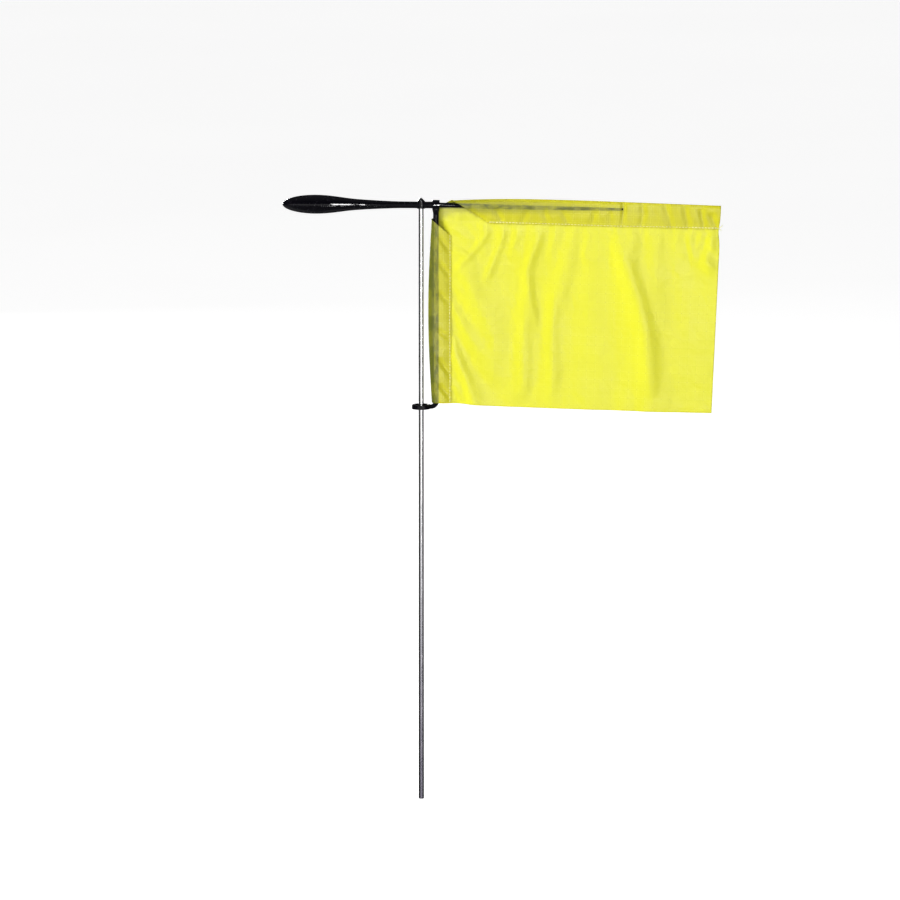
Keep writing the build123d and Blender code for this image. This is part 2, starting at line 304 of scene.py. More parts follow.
# %% [markdown]
# ## The rod's finish
# The rod is drawn stainless wire: bright, with very fine lines along its length from the die. Its
# colour is painted darker, to a violet grey, towards the foot: painted shade for the dimmer
# reflection low down. The lines are a noise stretched a hundred times along Z, and they only reach
# the bump and the roughness.

# %% Make the polished steel
steel, tree, shader = material("polished_rod_steel")
place = node(tree, "TexCoord").outputs["Object"]
drawn = node(tree, "VectorMath", {"operation": "MULTIPLY"}, i0=place, i1=(1.0, 1.0, 0.01))
lines = node(tree, "TexNoise", Vector=drawn.outputs[0], Scale=3200.0, Detail=3.0)
handled = use_group(tree, marks, Place=place, Scratch_Scale=1100.0, Smudge_Scale=55.0)
up_rod = node(tree, "SeparateXYZ", Vector=place).outputs["Z"]
patchy = node(tree, "TexNoise", Vector=place, Scale=38.0, Detail=3.0)
# Painted shade: the rod's colour goes from bright grey at the top to a violet grey towards the foot.
painted_shade_height = plus(tree, up_rod, times(tree, patchy.outputs[0], 0.05))
bright = ramp(tree, painted_shade_height, 0.02, 0.30)
shaded_violet_grey, bright_grey, stain_brown = (0.34, 0.32, 0.40, 1), (0.80, 0.79, 0.81, 1), (0.50, 0.46, 0.44, 1)
steel_colour = mixed(tree, bright, shaded_violet_grey, bright_grey)
stained = mixed(tree, times(tree, handled["Smudges"], 0.22), steel_colour, stain_brown)
tree.links.new(stained, shader.inputs["Base Color"])
polish = 0.16
line_dull = times(tree, lines.outputs[0], 0.03)
smudged, scratched = times(tree, handled["Smudges"], 0.05), times(tree, handled["Scratches"], 0.05)
tree.links.new(plus(tree, line_dull, polish, smudged, scratched), shader.inputs["Roughness"])
relief = math(tree, "SUBTRACT", lines.outputs[0], times(tree, handled["Scratches"], 0.5))
drawn_bump = node(tree, "Bump", Strength=0.02, Distance=0.00001, Height=relief)
tree.links.new(drawn_bump.outputs[0], shader.inputs["Normal"])
constants(shader, Metallic=1.0)
frame["nodes"]["spindle_rod"].data.materials.clear()
frame["nodes"]["spindle_rod"].data.materials.append(steel)
print("steel nodes:", len(tree.nodes))

# %% [markdown]
# ## The moulded black
# Both mouldings are glossy black nylon. Shiny mouldings are never flat: the skin sinks a little
# unevenly as it cools, and the line where the two halves of the mould met stands up as a fine
# scraped ridge. That line, not the shape, is what makes the light along the shank wobble. It is a
# group, because the arm parts along its level middle and the luff frame along its upright middle.

# %% The parting line group and the two blacks
parting, given, result = new_group(
    "parting_line",
    [("Place", "Vector", None), ("Distance", "Float", 0.0), ("Width", "Float", 0.0002)],
    ["Ridge", "Scraped"],
)
waver = node(parting, "TexNoise", Vector=given["Place"], Scale=420.0, Detail=2.0)
waver_width = 0.0004
wavering = times(parting, math(parting, "SUBTRACT", waver.outputs[0], 0.5), waver_width)
shifted = plus(parting, given["Distance"], wavering)
away = math(parting, "DIVIDE", math(parting, "ABSOLUTE", shifted), given["Width"])
ridge = ramp(parting, away, 0.0, 1.0, 1.0, 0.0)
chatter = node(parting, "TexNoise", Vector=given["Place"], Scale=900.0, Detail=2.0)
broken = ramp(parting, chatter.outputs[0], 0.35, 0.62)
parting.links.new(times(parting, ridge, broken), result["Ridge"])
parting.links.new(ramp(parting, away, 0.5, 3.0, 1.0, 0.0), result["Scraped"])

arm_height = frame["joints"][0]["pos_m"][2]
arm_slope = 0.4 / 180 * pi  # the arm droops this much towards the flag
clean_black, dusty_black = (0.0022, 0.0021, 0.0036, 1), (0.026, 0.024, 0.032, 1)


def black_moulding(name, parts_level):
    """Glossy black nylon, with its parting line at the arm's level or in the upright plane Y = 0."""
    made, tree, shader = material(name)
    place = node(tree, "TexCoord").outputs["Object"]
    axes = node(tree, "SeparateXYZ", Vector=place).outputs
    arm_line = math(tree, "SUBTRACT", arm_height, times(tree, axes["X"], arm_slope))
    level = math(tree, "SUBTRACT", axes["Z"], arm_line)
    from_line = plus(tree, level, 0.0006) if parts_level else axes["Y"]
    line = use_group(tree, parting, Place=place, Distance=from_line, Width=0.00022)
    handled = use_group(tree, marks, Place=place, Scratch_Scale=700.0, Smudge_Scale=70.0)
    sink = node(tree, "TexNoise", Vector=place, Scale=130.0, Detail=2.0)
    skin = node(tree, "TexNoise", Vector=place, Scale=1500.0, Detail=3.0)
    dusty = plus(tree, times(tree, handled["Scratches"], 0.5), times(tree, handled["Specks"], 0.5))
    worn = plus(tree, dusty, times(tree, line["Ridge"], 0.15))
    colour = mixed(tree, worn, clean_black, dusty_black)
    tree.links.new(colour, shader.inputs["Base Color"])
    dulled = plus(tree, times(tree, handled["Smudges"], 0.05), times(tree, line["Scraped"], 0.03))
    gloss = plus(tree, dulled, 0.07, times(tree, dusty, 0.15))
    tree.links.new(gloss, shader.inputs["Roughness"])
    wavy = plus(tree, sink.outputs[0], times(tree, skin.outputs[0], 0.05))
    height = plus(tree, wavy, times(tree, line["Ridge"], 0.35))
    bump = node(tree, "Bump", Strength=0.5, Distance=0.00025, Height=height)
    tree.links.new(bump.outputs[0], shader.inputs["Normal"])
    constants(shader, Specular_IOR_Level=0.22)
    return made


arm_black = black_moulding("black_moulding_arm", parts_level=True)
luff_black = black_moulding("black_moulding_luff", parts_level=False)
for name in ("balance_arm", "luff_eye", "luff_bar", "guide_ring"):
    slots = frame["nodes"][name].data.materials
    slots.clear()
    slots.append(arm_black if name == "balance_arm" else luff_black)
print("moulded:", [m.name for m in (arm_black, luff_black)])

# %% [markdown]
# ## The cloth's flat cut
# The flag is one piece of ripstop nylon. It is laid out flat first, as on a cutting table: the
# panel, a lap along the luff and a lap along the top. One corner is taken off in two snips, so that
# the frame's eye has room and the cloth still fills the angle below it. S runs from the luff fold
# towards the fly, T from the bottom edge up. The rows and columns of the grid are spaced so that
# each fold and each seam lies on one.

# %% Lay out and cut the cloth
luff_lap, top_lap, raw_margin = 14.0, 16.8, 1.0
cut_length, cut_height = 214.8, 154.0
columns = ([1, 10, 10, 100], [-luff_lap - raw_margin, -luff_lap, 0, luff_lap, cut_length])
seam_t, lap_end_t = cut_height - top_lap, cut_height + top_lap
rows = ([68, 12, 12, 1], [0, seam_t, cut_height, lap_end_t, lap_end_t + raw_margin])


def laid_out(index, plan):
    """Where row or column number index lies on the flat cut, in mm."""
    counts, ends = plan
    for count, start, end in zip(counts, ends, ends[1:]):
        if index <= count:
            return start + (end - start) * index / count
        index -= count
    return ends[-1]


deselect()
bpy.ops.mesh.primitive_grid_add(x_subdivisions=sum(columns[0]), y_subdivisions=sum(rows[0]), size=1)
flag = bpy.context.object
flag.name = "flag_cloth"
for vertex in flag.data.vertices:
    column = round((vertex.co.x + 0.5) * sum(columns[0]))
    row = round((vertex.co.y + 0.5) * sum(rows[0]))
    vertex.co = Vector((laid_out(column, columns), laid_out(row, rows), 0)) * mm

corner_s, corner_t = 15.1, cut_height - 15.1  # where the corner cut meets the top and luff folds
snip_s, snip_t = 5.6, cut_height - 5.6  # the corner is taken off in two snips that meet here
scissor_cuts = [  # (which part: 0 luff lap, 1 panel, 2 top lap; a point on the cut; the side to drop)
    (0, (0, corner_t), (-0.85, 1.0)),
    (1, (0, corner_t), (corner_t - snip_t, snip_s)),
    (1, (corner_s, cut_height), (snip_t - cut_height, corner_s - snip_s)),
    (2, (corner_s, cut_height), (-0.62, 1.0)),
]
bpy.ops.object.mode_set(mode="EDIT")
bpy.ops.mesh.select_mode(type="FACE")
for part, start, across in scissor_cuts:
    bpy.ops.mesh.select_all(action="DESELECT")
    bpy.ops.object.mode_set(mode="OBJECT")
    for face in flag.data.polygons:
        s, t = face.center.x / mm, face.center.y / mm
        in_luff_lap, in_top_lap = s < 0, t > cut_height
        face.select = part == (0 if in_luff_lap else 2 if in_top_lap else 1)
    bpy.ops.object.mode_set(mode="EDIT")
    bpy.ops.mesh.bisect(
        plane_co=Vector((start[0], start[1], 0)) * mm,
        plane_no=Vector((across[0], across[1], 0)).normalized(),
        clear_outer=True,
    )
bpy.ops.mesh.select_all(action="SELECT")
bpy.ops.mesh.remove_doubles(threshold=0.25 * mm)
bpy.ops.object.mode_set(mode="OBJECT")
cut_map = flag.data.uv_layers.active
cut_map.name = "flat_cut"
for loop in flag.data.loops:
    cut_map.data[loop.index].uv = flag.data.vertices[loop.vertex_index].co.xy
print("the flat cut has", len(flag.data.vertices), "points")

# %% [markdown]
# ## Folding it over the spar and the bar
# Each point of the flat cut gets its place on the hung flag. Side to side and up and down come
# from the outline: the top edge bellies up a little, the fly slants, the bottom drops towards the
# fly. The depth comes from what is inside: each sleeve is a lens that is widest at the bar or the
# spar, closes at its seam, and turns over at its fold. The laps are the same lens on the front.

# %% Read the outline from the frame
luff_low, luff_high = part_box("luff_sleeve")
top_low, top_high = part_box("top_sleeve")
bar_low, bar_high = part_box("luff_bar")
panel_low, arm_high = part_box("flag_panel")[0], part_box("balance_arm")[1]
luff_x, luff_seam_x = luff_low.x / mm, luff_high.x / mm
bar_x, bar_radius = (bar_low.x + bar_high.x) / 2 / mm, (bar_high.x - bar_low.x) / 2 / mm
fly_x, spar_end_x = top_high.x / mm, arm_high.x / mm
fly_slant = 6.9
fly_bottom = (fly_x - fly_slant, panel_low.z / mm)
luff_bottom = 298.2
top_at_fly = arm_height / mm - 0.1
spar_root_x, spar_root_z, spar_drop = 13.75, arm_height / mm - 0.1, 0.0227
spar_root_radius, spar_tip_radius = 1.85, 0.75
seam_at_luff, seam_at_fly = 434.0, 428.5
seam_fall = (seam_at_luff - seam_at_fly) / (fly_x - luff_seam_x)


def smooth(value, low, high):
    """0 below low, 1 above high, and an even curve between."""
    share = min(1.0, max(0.0, (value - low) / (high - low)))
    return share * share * (3 - 2 * share)


def polyline(x, points):
    """Height at x on straight runs through the points, carried on at both ends."""
    for (x0, z0), (x1, z1) in zip(points, points[1:]):
        if x <= x1 or (x1, z1) == points[-1]:
            return z0 + (z1 - z0) * (x - x0) / (x1 - x0)


top_edge = [(7.4, 448.7), (22.5, 449.9), (44, 450.8), (66, 451.1), (92, 450.7), (122, 449.8)]
top_edge.append((fly_x, top_at_fly))


def fold_height(x):
    """The top fold's height, evened over 20 mm so that its runs don't show."""
    return sum(polyline(x + step, top_edge) for step in (-10, -5, 0, 5, 10)) / 5


def seam_height(x):
    """The top seam's height: it falls evenly towards the fly."""
    return seam_at_luff - seam_fall * (x - luff_seam_x)


def bottom_height(x):
    """The bottom edge: straight, but for the luff sleeve's end, which sits up on the bar's bend."""
    straight = luff_bottom + (fly_bottom[1] - luff_bottom) * (x - bar_x) / (fly_bottom[0] - bar_x)
    return straight + 0.3 * (1 - smooth(x, luff_x, luff_x + 3.2))


def spar_height(x):
    return spar_root_z - spar_drop * (x - spar_root_x)


def spar_radius(x):
    share = (x - spar_root_x) / (spar_end_x - spar_root_x)
    return spar_root_radius + (spar_tip_radius - spar_root_radius) * min(1, max(0, share))


print("luff fold at", round(luff_x, 1), "fly top at", round(fly_x, 1), "spar ends at", round(spar_end_x, 1))

# %% [markdown]
# The creases were put in one by one, each as a path on the flag with a height and a width.
# A path's height fades at both its ends. Creases that start at a seam are cloth that the stitches
# gathered; the broad one in the fly half is the cloth's own weight.

# %% Put in the creases
creases = [  # (points of the path in mm, how far it stands out, half width)
    ([(52, 430), (45, 419), (36, 409), (23, 395)], 1.15, 2.3),
    ([(63, 430), (57, 412), (52, 400), (47, 388)], 1.05, 2.6),
    ([(73, 429), (70, 419), (66, 410)], 0.7, 1.9),
    ([(91, 429), (82, 409), (78, 396), (82, 374), (86, 352)], 1.3, 3.4),
    ([(100, 427), (97, 415), (96, 404)], 0.4, 2.4),
    ([(126, 427), (122, 416), (121, 404)], 0.4, 2.2),
    ([(141, 422), (151, 402), (161, 376), (167, 352), (169, 322), (169, 298)], 3.3, 7.5),
    ([(78, 384), (76, 350), (77, 320), (76, 297)], 1.3, 5.0),
    ([(99, 386), (97, 350), (98, 320), (97, 296)], 1.6, 5.2),
    ([(120, 350), (119, 325), (120, 296)], 0.6, 7.0),
    ([(23, 372), (29, 360), (37, 348)], 0.65, 2.6),
    ([(22, 344), (27, 330), (34, 314), (38, 299)], 0.95, 3.6),
    ([(23, 316), (28, 306), (31, 298)], 0.5, 2.6),
    ([(22, 430), (30, 424), (40, 420)], 0.5, 2.2),
    ([(22, 412), (31, 410), (38, 404)], 0.45, 2.2),
    ([(201, 427), (199, 418), (201, 409)], 1.0, 2.0),
    ([(209, 427), (207, 419), (203, 411)], 1.0, 1.9),
    ([(216, 427), (214, 419), (217, 411)], 1.2, 1.9),
    ([(219, 426), (213, 414), (211, 403), (218, 396)], 1.5, 3.4),
    ([(190, 414), (202, 406), (213, 402), (221, 400)], 1.3, 5.0),
]

# in the sleeves: the path in mm, the share of the sleeve's thickness that is pressed in, half width
pinches = [
    ([(149.9, 449), (149.7, 431)], 0.75, 0.9),
    ([(164, 446), (165, 440), (163, 431)], 0.6, 1.3),
    ([(37, 442), (46, 435)], 0.5, 1.2),
    ([(54, 445), (60, 434)], 0.55, 1.4),
    ([(79, 444), (75, 433)], 0.5, 1.3),
    ([(91, 444), (93, 432)], 0.4, 1.1),
    ([(104, 443), (109, 432)], 0.5, 1.4),
    ([(129, 443), (126, 431)], 0.5, 1.3),
    ([(139, 442), (141, 430)], 0.4, 1.2),
    ([(181, 446), (185, 430)], 0.5, 2.0),
    ([(195, 444), (198, 429)], 0.7, 1.6),
    ([(207, 442), (210, 428)], 0.8, 1.3),
    ([(215, 438), (219, 428)], 0.8, 1.5),
    ([(14, 421), (21, 411)], 0.6, 1.1),
    ([(14, 402), (21, 394)], 0.6, 1.3),
    ([(14, 380), (21, 372)], 0.5, 1.2),
    ([(13, 352), (21, 347)], 0.5, 1.4),
    ([(14, 330), (21, 320)], 0.6, 1.3),
    ([(14, 311), (21, 303)], 0.6, 1.2),
]


def distance_to(x, z, points):
    """How far (x, z) is from a path, and how far along it, from 0 to 1."""
    best, share, run = 1e9, 0.0, 0.0
    steps = [sqrt((b[0] - a[0]) ** 2 + (b[1] - a[1]) ** 2) for a, b in zip(points, points[1:])]
    for (ax, az), (bx, bz), step in zip(points, points[1:], steps):
        k = min(1.0, max(0.0, ((x - ax) * (bx - ax) + (z - az) * (bz - az)) / step**2))
        away = sqrt((x - ax - k * (bx - ax)) ** 2 + (z - az - k * (bz - az)) ** 2)
        if away < best:
            best, share = away, (run + k * step) / sum(steps)
        run += step
    return best, share


def pinched(x, z):
    """The share of a sleeve's thickness that is left at (x, z)."""
    left = 1.0
    for points, share, width in pinches:
        away = distance_to(x, z, points)[0]
        if away < 3 * width:
            left -= share * exp(-((away / width) ** 2))
    by_spar = exp(-(((z - spar_height(x)) / 3.2) ** 2)) if x < spar_end_x - 1 else 0.0
    by_bar = exp(-(((x - bar_x) / 2.8) ** 2))
    return max(0.1, left + (1 - left) * max(by_spar, by_bar))


def creased(x, z):
    """How far the cloth stands out behind its own plane at (x, z), in mm."""
    out = 0.0
    for points, stands_out, width in creases:
        away, share = distance_to(x, z, points)
        if away < 4 * width:
            ends = smooth(share, -0.05, 0.18) * (1 - smooth(share, 0.80, 1.0) * 0.8)
            out -= stands_out * ends * exp(-((away / width) ** 2))
    free = smooth(x, 24, 90) * (1 - smooth(z, 380, 432))
    sway = 2.2 * sin((x - 30) / 46 + (440 - z) / 90) + 1.1 * sin((x + z) / 23)
    return out + free * sway + 2.6 * smooth(x, 165, 225) * (1 - smooth(z, 300, 440))


print(len(creases), "creases placed by hand")

# %% [markdown]
# Points on the seams and in the sleeves get a pin weight of 1: thread and frame hold them. The
# weight falls away over the free cloth, which the simulation then settles.

# %% Fold the cloth
z_luff_mouth = luff_high.z / mm  # where the laps' slanting ends meet the folds
x_top_mouth, z_top_mouth = top_low.x / mm, top_high.z / mm - 0.9
luff_bow = 2.7  # how far the middle of the luff fold stands forward
pinch_depth = 1.7  # how far a pinched place sinks back
layer_gap = 0.12  # from the middle plane to each layer where they are sewn together


def lens(share, widest, half):
    """Half thickness of a sleeve at share of the way from its seam to its fold."""
    if share <= widest:
        q = share / widest
        return half * q * (2 - q)
    q = (share - widest) / (1 - widest)
    return half * sqrt(max(0.0, 1 - q * q))


def hung(s, t):
    """Where the point (s, t) of the flat cut hangs in mm, how firmly, and 1 if another layer is by it."""
    side = -1 if s < 0 or t > cut_height else 1
    along, up = abs(s), t if t <= cut_height else 2 * cut_height - t
    share_up = up / cut_height
    fly_here = fly_bottom[0] + (fly_x - fly_bottom[0]) * share_up
    fly_here -= 0.9 * exp(-(((up - cut_height + top_lap + 2) / 6.0) ** 2))
    bow = luff_bow * sin(pi * min(1.0, up / corner_t)) * max(0.0, 1 - along / luff_lap)
    x = luff_x + along - bow
    if along > luff_lap:
        x = luff_seam_x + (along - luff_lap) / (cut_length - luff_lap) * (fly_here - luff_seam_x)
    low, seam, fold = bottom_height(x), seam_height(x), fold_height(x)
    if up <= cut_height - top_lap:
        z = low + (seam - low) * up / (cut_height - top_lap)
    else:
        z = seam + (fold - seam) * (up - cut_height + top_lap) / top_lap
    bar_share = 1 - (bar_x - luff_x) / luff_lap
    round_bar = bar_radius + 0.45 + 0.75 * smooth(z, 428, 437)
    over_luff_mouth = z - (z_luff_mouth - 0.85 * (x - luff_x))
    over_top_mouth = z - (z_top_mouth - 0.62 * (x - x_top_mouth))
    open_back = smooth(over_luff_mouth, 0, 5) if side > 0 else 0.0
    luff_half = 0.0
    if along <= luff_lap:
        luff_half = lens(1 - along / luff_lap, bar_share, round_bar)
        bare = round_bar * min(1.0, (1 - along / luff_lap) / bar_share) ** 2
        luff_half += (bare - luff_half) * open_back
    top_half = 0.0
    if up > cut_height - top_lap:
        past_spar = smooth(x, spar_end_x - 1, spar_end_x + 7)
        empty_sleeve = 0.8 + 0.9 * smooth(x, 205, 222)
        round_spar = (spar_radius(x) + 0.5) * (1 - past_spar) + empty_sleeve * past_spar
        share = (up - cut_height + top_lap) / top_lap
        top_half = lens(share, (spar_height(x) - seam) / (fold - seam), round_spar)
    half = sqrt(luff_half**2 + top_half**2) if side > 0 else max(luff_half, top_half)
    left_open = pinched(x, z)
    half *= left_open
    on_fold = (s == 0 and t <= cut_height) or t == cut_height
    near_luff = 1 - smooth(along, luff_lap - 1, luff_lap + 9)
    near_top = smooth(up, cut_height - top_lap - 9, cut_height - top_lap + 1)
    puff = 0.32 * sin(x / 2.9 + z / 7) * sin(z / 5.3 - x / 11) * min(1.0, half)
    plane = creased(x, z) * (1 - 0.75 * max(near_luff, near_top))
    plane += pinch_depth * (1 - left_open)
    y = plane + (0 if on_fold else side * (half + layer_gap)) + (0 if on_fold else side * abs(puff))
    grip = 1.0 if along <= luff_lap + 0.5 or up >= cut_height - top_lap - 0.5 else 0.0
    under_luff_lap = along <= luff_lap + raw_margin and over_luff_mouth < 0
    under_top_lap = up >= cut_height - top_lap - raw_margin and over_top_mouth > 0
    return Vector((x, y, z)), grip, float(side < 0 or under_luff_lap or under_top_lap)


held = flag.vertex_groups.new(name="held")
layer_count = []
for vertex in flag.data.vertices:
    s, t = round(vertex.co.x / mm, 4), round(vertex.co.y / mm, 4)
    spot, grip, doubled_here = hung(s, t)
    layer_count.append(doubled_here)
    vertex.co = spot * mm
    held.add([vertex.index], grip, "REPLACE")
flag.data.attributes.new("cloth_layers", "FLOAT", "POINT").data.foreach_set("value", layer_count)
bpy.ops.object.shade_smooth()

# %% [markdown]
# ## Letting it settle
# The cloth solver likes things the size of clothes, so the flag is made ten times larger for it
# and brought back after. The cloth is given a little more length than its stitched edges have, as
# every machine seam gathers it, and so fine wrinkles fan out from the seams by themselves.

# %% Simulate the cloth
sim_scale, settle_frames, gather = 10.0, 24, 0.010
for vertex in flag.data.vertices:
    vertex.co *= sim_scale
cloth = flag.modifiers.new("settle", "CLOTH")
cloth.settings.quality = 6
cloth.settings.mass = 0.15
cloth.settings.tension_stiffness = cloth.settings.compression_stiffness = 25
cloth.settings.shear_stiffness = 12
cloth.settings.bending_stiffness = 1.2
cloth.settings.tension_damping = cloth.settings.compression_damping = 12
cloth.settings.air_damping = 3
cloth.settings.shrink_min = -gather
cloth.settings.vertex_group_mass = "held"
cloth.settings.effector_weights.gravity = 0.12
cloth.point_cache.frame_start, cloth.point_cache.frame_end = 1, settle_frames
for number in range(1, settle_frames + 1):
    bpy.context.scene.frame_set(number)
bpy.ops.object.modifier_apply(modifier="settle")
bpy.context.scene.frame_set(1)
for vertex in flag.data.vertices:
    vertex.co /= sim_scale
lowest = [round(min(v.co[axis] for v in flag.data.vertices) / mm, 1) for axis in range(3)]
highest = [round(max(v.co[axis] for v in flag.data.vertices) / mm, 1) for axis in range(3)]
print("settled between", lowest, "and", highest)

# %% [markdown]
# ## Stitches
# A lockstitch shows on each side as a row of short beads that dip into the cloth at the needle
# holes. One bead is modelled, a stretched ball with its ends bent down, and then copied along each
# seam, every copy turned to the cloth where it lies. A ray from outside finds the cloth. The top
# seam is sewn back over itself at both ends, so its first and last eight stitches lie double.

# %% Model one stitch
stitch_length, thread_width = 2.4, 0.56


def new_stitch():
    deselect()
    bpy.ops.mesh.primitive_uv_sphere_add(segments=8, ring_count=6, radius=0.5)
    made = bpy.context.object
    bpy.ops.object.mode_set(mode="EDIT")
    bpy.ops.mesh.select_all(action="SELECT")
    bpy.ops.transform.rotate(value=pi / 2, orient_axis="Y", center_override=(0, 0, 0))
    bpy.ops.transform.resize(value=(stitch_length * 0.86 * mm, thread_width * mm, thread_width * mm))
    bpy.ops.object.mode_set(mode="OBJECT")
    for vertex in made.data.vertices:
        reach = abs(vertex.co.x) / (stitch_length * mm / 2)
        vertex.co.z -= 0.22 * mm * reach**2.5
    return made


stitch = new_stitch()
print("one stitch has", len(stitch.data.polygons), "faces")


# %% Sew the seams
def cloth_surface(x, z, side):
    """The cloth's surface and its outward normal at (x, z), from the front or the back."""
    hit, spot, normal, _ = flag.ray_cast(Vector((x, side * 40, z)) * mm, Vector((0, -side, 0)))
    return (spot, normal if normal.y * side > 0 else -normal) if hit else (None, None)


def sew(name, path, back_tack=0):
    """Copies the stitch along a path of (x, z) points on both sides and joins the copies."""
    made = []
    for side in (-1, 1):
        for number, (x, z) in enumerate(path[:-1]):
            nx, nz = path[number + 1]
            start, up_a = cloth_surface(x, z, side)
            end, up_b = cloth_surface(nx, nz, side)
            if start is None or end is None:
                continue
            along = (end - start).normalized()
            up = (up_a + up_b).normalized()
            across = up.cross(along).normalized()
            up = along.cross(across)
            turn = Matrix((along, across, up)).transposed().to_4x4()
            tacked = number < back_tack or number >= len(path) - 1 - back_tack
            for shift in (0, 0.34) if tacked else (0,):
                copy = stitch.copy()
                copy.data = stitch.data.copy()
                bpy.context.collection.objects.link(copy)
                middle = (start + end) / 2 + up * 0.16 * mm + across * shift * mm
                copy.data.transform(Matrix.Translation(middle) @ turn)
                made.append(copy)
    deselect()
    for copy in made:
        copy.select_set(True)
    bpy.context.view_layer.objects.active = made[0]
    bpy.ops.object.join()
    joined = bpy.context.object
    joined.name = joined.data.name = name
    bpy.ops.object.shade_smooth()
    return joined


def seam_line(start, end, wander):
    """Points one stitch apart from start to end; a seam sewn by hand wanders a little."""
    length = sqrt((end[0] - start[0]) ** 2 + (end[1] - start[1]) ** 2)
    count = int(length / stitch_length)
    upright = abs(end[0] - start[0]) < 20
    points = []
    for number in range(count + 1):
        k = number / count
        drift = wander * sin(k * 9.0) * sin(k * pi)
        x, z = start[0] + (end[0] - start[0]) * k, start[1] + (end[1] - start[1]) * k
        points.append((x + drift, z) if upright else (x, z + drift))
    return points


top_seam_start = (50.2, seam_height(50.2) + 0.05)
top_seam_end = (fly_x - 2.6, seam_height(fly_x) + 0.1)
luff_seam_top, luff_seam_bottom = (luff_seam_x - 0.15, 424.4), (luff_seam_x - 0.25, 298.6)
top_stitches = sew("top_seam_stitches", seam_line(top_seam_start, top_seam_end, 0.25), back_tack=8)
luff_stitches = sew("luff_seam_stitches", seam_line(luff_seam_top, luff_seam_bottom, 0.25))
bpy.data.objects.remove(stitch)
print("stitches:", len(top_stitches.data.polygons) + len(luff_stitches.data.polygons), "faces")

# %% [markdown]
# ## Thread tails
# The machine's two threads are snipped off a few millimetres past the fly. Each tail is a thin
# tube: a small circle, extruded step by step along the way the thread curls.


# %% Add the thread tails
def thread_tail(name, start, steps, width):
    """A thread from start, extruded through the steps, in mm."""
    deselect()
    bpy.ops.mesh.primitive_circle_add(
        vertices=6, radius=width / 2 * mm, fill_type="NGON", location=Vector(start) * mm
    )
    made = bpy.context.object
    made.name = made.data.name = name
    bpy.ops.object.transform_apply(location=True, rotation=True, scale=True)
    bpy.ops.object.mode_set(mode="EDIT")
    bpy.ops.mesh.select_all(action="SELECT")
    first = Vector(steps[0]).to_track_quat("Z", "Y").to_euler()
    for axis, angle in zip("XYZ", first):
        bpy.ops.transform.rotate(value=-angle, orient_axis=axis, center_override=Vector(start) * mm)
    for step in steps:
        bpy.ops.mesh.extrude_region_move(TRANSFORM_OT_translate={"value": Vector(step) * mm})
        bpy.ops.transform.resize(value=(0.93, 0.93, 0.93))
    bpy.ops.mesh.select_all(action="SELECT")
    bpy.ops.mesh.normals_make_consistent(inside=False)
    bpy.ops.object.mode_set(mode="OBJECT")
    bpy.ops.object.shade_smooth()
    return made


seam_stop, _ = cloth_surface(*top_seam_end, -1)
tail_root = seam_stop / mm - Vector((0.2, 0.2, 0))
back_root = tail_root + Vector((0, 0.5, 0))
tail_width = 0.6
front_steps = [(1.5, -0.4, 0.3), (1.5, -0.2, 0.9), (0.9, 0.1, 1.0), (0.4, 0.2, 0.6)]
back_steps = [(1.4, 0.1, -0.5), (1.2, 0.1, -0.8), (0.5, -0.1, -0.9)]
front_tail = thread_tail("front_thread_tail", tail_root, front_steps, tail_width)
back_tail = thread_tail("back_thread_tail", back_root, back_steps, tail_width)
print("tails of", len(front_tail.data.polygons), "and", len(back_tail.data.polygons), "faces")

# %% [markdown]
# ## The ripstop weave
# Ripstop has heavier threads woven in at even steps both ways, so a grid of fine raised lines
# crosses the plain weave. The pattern belongs to the cloth and not to the room, so it reads the
# flat cut's own map: it turns over the folds with the cloth.

# %% The ripstop group
ripstop, given, result = new_group(
    "ripstop_weave",
    [
        ("Place", "Vector", None),
        ("Square", "Float", 0.0064),
        ("Cord", "Float", 0.00055),
        ("Yarn", "Float", 0.00028),
    ],
    ["Cords", "Crossings", "Weave", "Fine Cords"],
)
flat_place = node(ripstop, "SeparateXYZ", Vector=given["Place"]).outputs


def nearness(tree, value, pitch, width):
    """1 on lines that are a pitch apart, 0 a width away from them."""
    turn = math(tree, "FRACT", math(tree, "DIVIDE", value, pitch))
    away = times(tree, math(tree, "ABSOLUTE", math(tree, "SUBTRACT", turn, 0.5)), pitch)
    return math(tree, "SUBTRACT", 1.0, math(tree, "MINIMUM", 1.0, math(tree, "DIVIDE", away, width)))


def yarn_wave(tree, value, yarn):
    """Rises and falls once for every yarn."""
    return math(tree, "SINE", math(tree, "DIVIDE", times(tree, value, 2 * pi), yarn))


along_cord = nearness(ripstop, flat_place["X"], given["Square"], given["Cord"])
up_cord = nearness(ripstop, flat_place["Y"], given["Square"], given["Cord"])
half_square = times(ripstop, given["Square"], 0.5)
fine_along = nearness(ripstop, flat_place["X"], half_square, given["Cord"])
fine_up = nearness(ripstop, flat_place["Y"], half_square, given["Cord"])
warp = yarn_wave(ripstop, flat_place["X"], given["Yarn"])
weft = yarn_wave(ripstop, flat_place["Y"], given["Yarn"])
ripstop.links.new(math(ripstop, "MAXIMUM", along_cord, up_cord), result["Cords"])
ripstop.links.new(times(ripstop, along_cord, up_cord), result["Crossings"])
ripstop.links.new(math(ripstop, "MAXIMUM", fine_along, fine_up), result["Fine Cords"])
ripstop.links.new(times(ripstop, warp, weft), result["Weave"])
print("ripstop squares of", round(ripstop.interface.items_tree["Square"].default_value / mm, 1), "mm")
